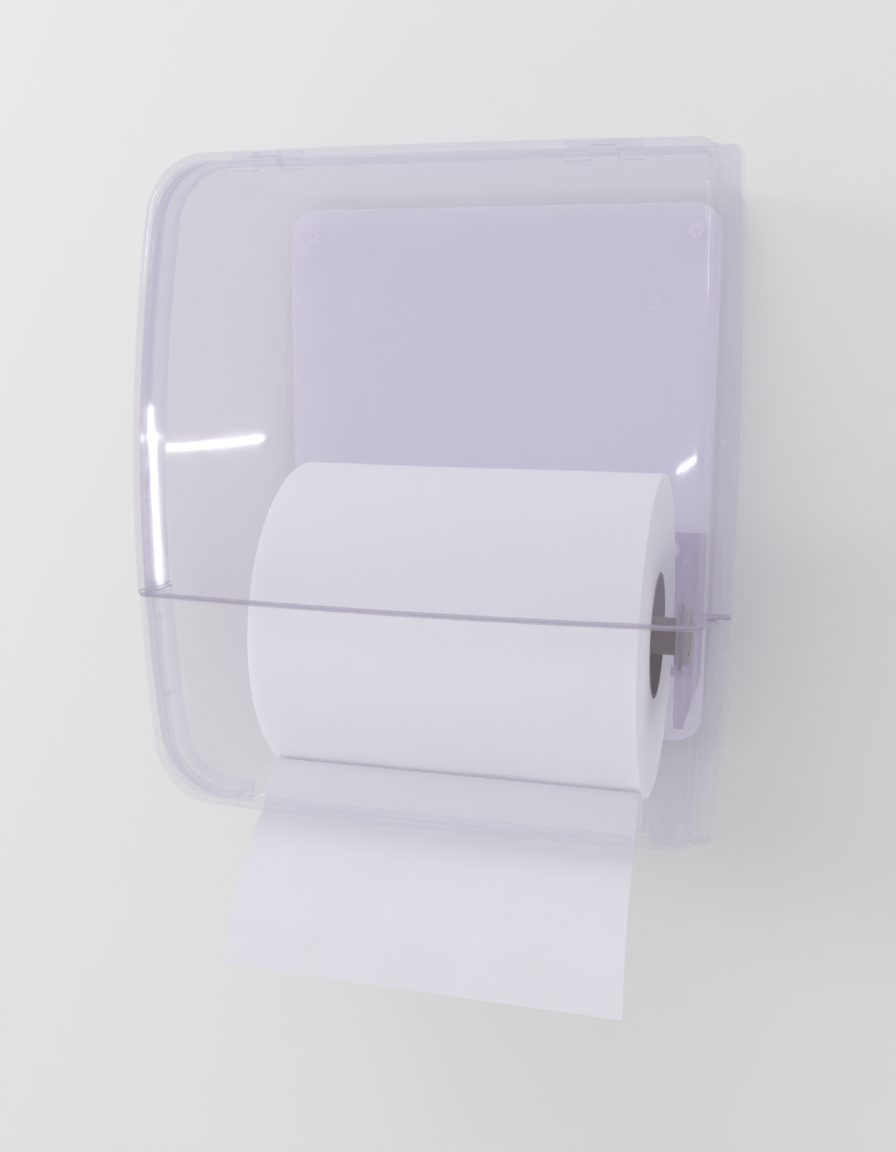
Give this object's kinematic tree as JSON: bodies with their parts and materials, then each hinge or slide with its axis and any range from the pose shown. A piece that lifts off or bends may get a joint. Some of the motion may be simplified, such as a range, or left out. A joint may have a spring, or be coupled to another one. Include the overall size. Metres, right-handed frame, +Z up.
{
  "type": "wall-mounted tissue roll dispenser",
  "caption": "Clear violet wall box that holds a tissue roll on a sprung spindle; the front lid lifts for loading and the paper leaves through a slot in the floor.",
  "frame": {"origin": "on the wall plane, in the middle of the four wall screw holes", "axes": "+X to the right seen from the front, +Y into the wall, +Z up"},
  "size_m": [0.1872, 0.1452, 0.2355],
  "materials": {
    "clear_violet": "clear violet-tinted moulded plastic, glossy",
    "violet_plate": "translucent violet-grey moulded plastic",
    "taupe_plastic": "matt brown-grey moulded plastic",
    "spring_steel": "drawn wire",
    "bumper_rubber": "soft translucent",
    "core_card": "grey-brown wound board",
    "tissue": "matt, finely embossed"
  },
  "bodies": {
    "housing": {"tray": "clear_violet", "chassis_plate": "violet_plate", "plate_rivets": "violet_plate", "arm_left": "violet_plate", "arm_right": "violet_plate", "arm_rivets": "violet_plate", "bushing_left": "taupe_plastic", "bushing_right": "taupe_plastic", "lower_cover": "clear_violet", "cover_rivets": "clear_violet", "lid_bumper_left": "bumper_rubber", "lid_bumper_right": "bumper_rubber", "hinge_pin_left": "clear_violet", "hinge_pin_right": "clear_violet", "spindle_tube": "taupe_plastic", "spindle_collar": "taupe_plastic", "hub_left": "taupe_plastic", "spindle_spring": "spring_steel", "paper_guide": "violet_plate", "paper_tail": "tissue"},
    "lid": {"lid": "clear_violet"},
    "roll": {"cardboard_core": "core_card", "paper_roll": "tissue"},
    "plunger": {"spindle_plunger": "taupe_plastic", "hub_right": "taupe_plastic"}
  },
  "joints": [
    {"name": "lid_hinge", "type": "hinge", "parent": "housing", "child": "lid", "pos_m": [0.002, -0.0985, 0.0994], "axis": [-1, 0, 0], "range_deg": [0, 105]},
    {"name": "roll_spin", "type": "hinge", "parent": "housing", "child": "roll", "pos_m": [0.008, -0.062, -0.0456], "axis": [1, 0, 0], "continuous": true},
    {"name": "plunger_slide", "type": "slide", "parent": "housing", "child": "plunger", "axis": [-1, 0, 0], "range_m": [0, 0.009], "stiffness_N_per_m": 600, "springref_m": -0.004, "deforming": ["spindle_spring"]}
  ]
}
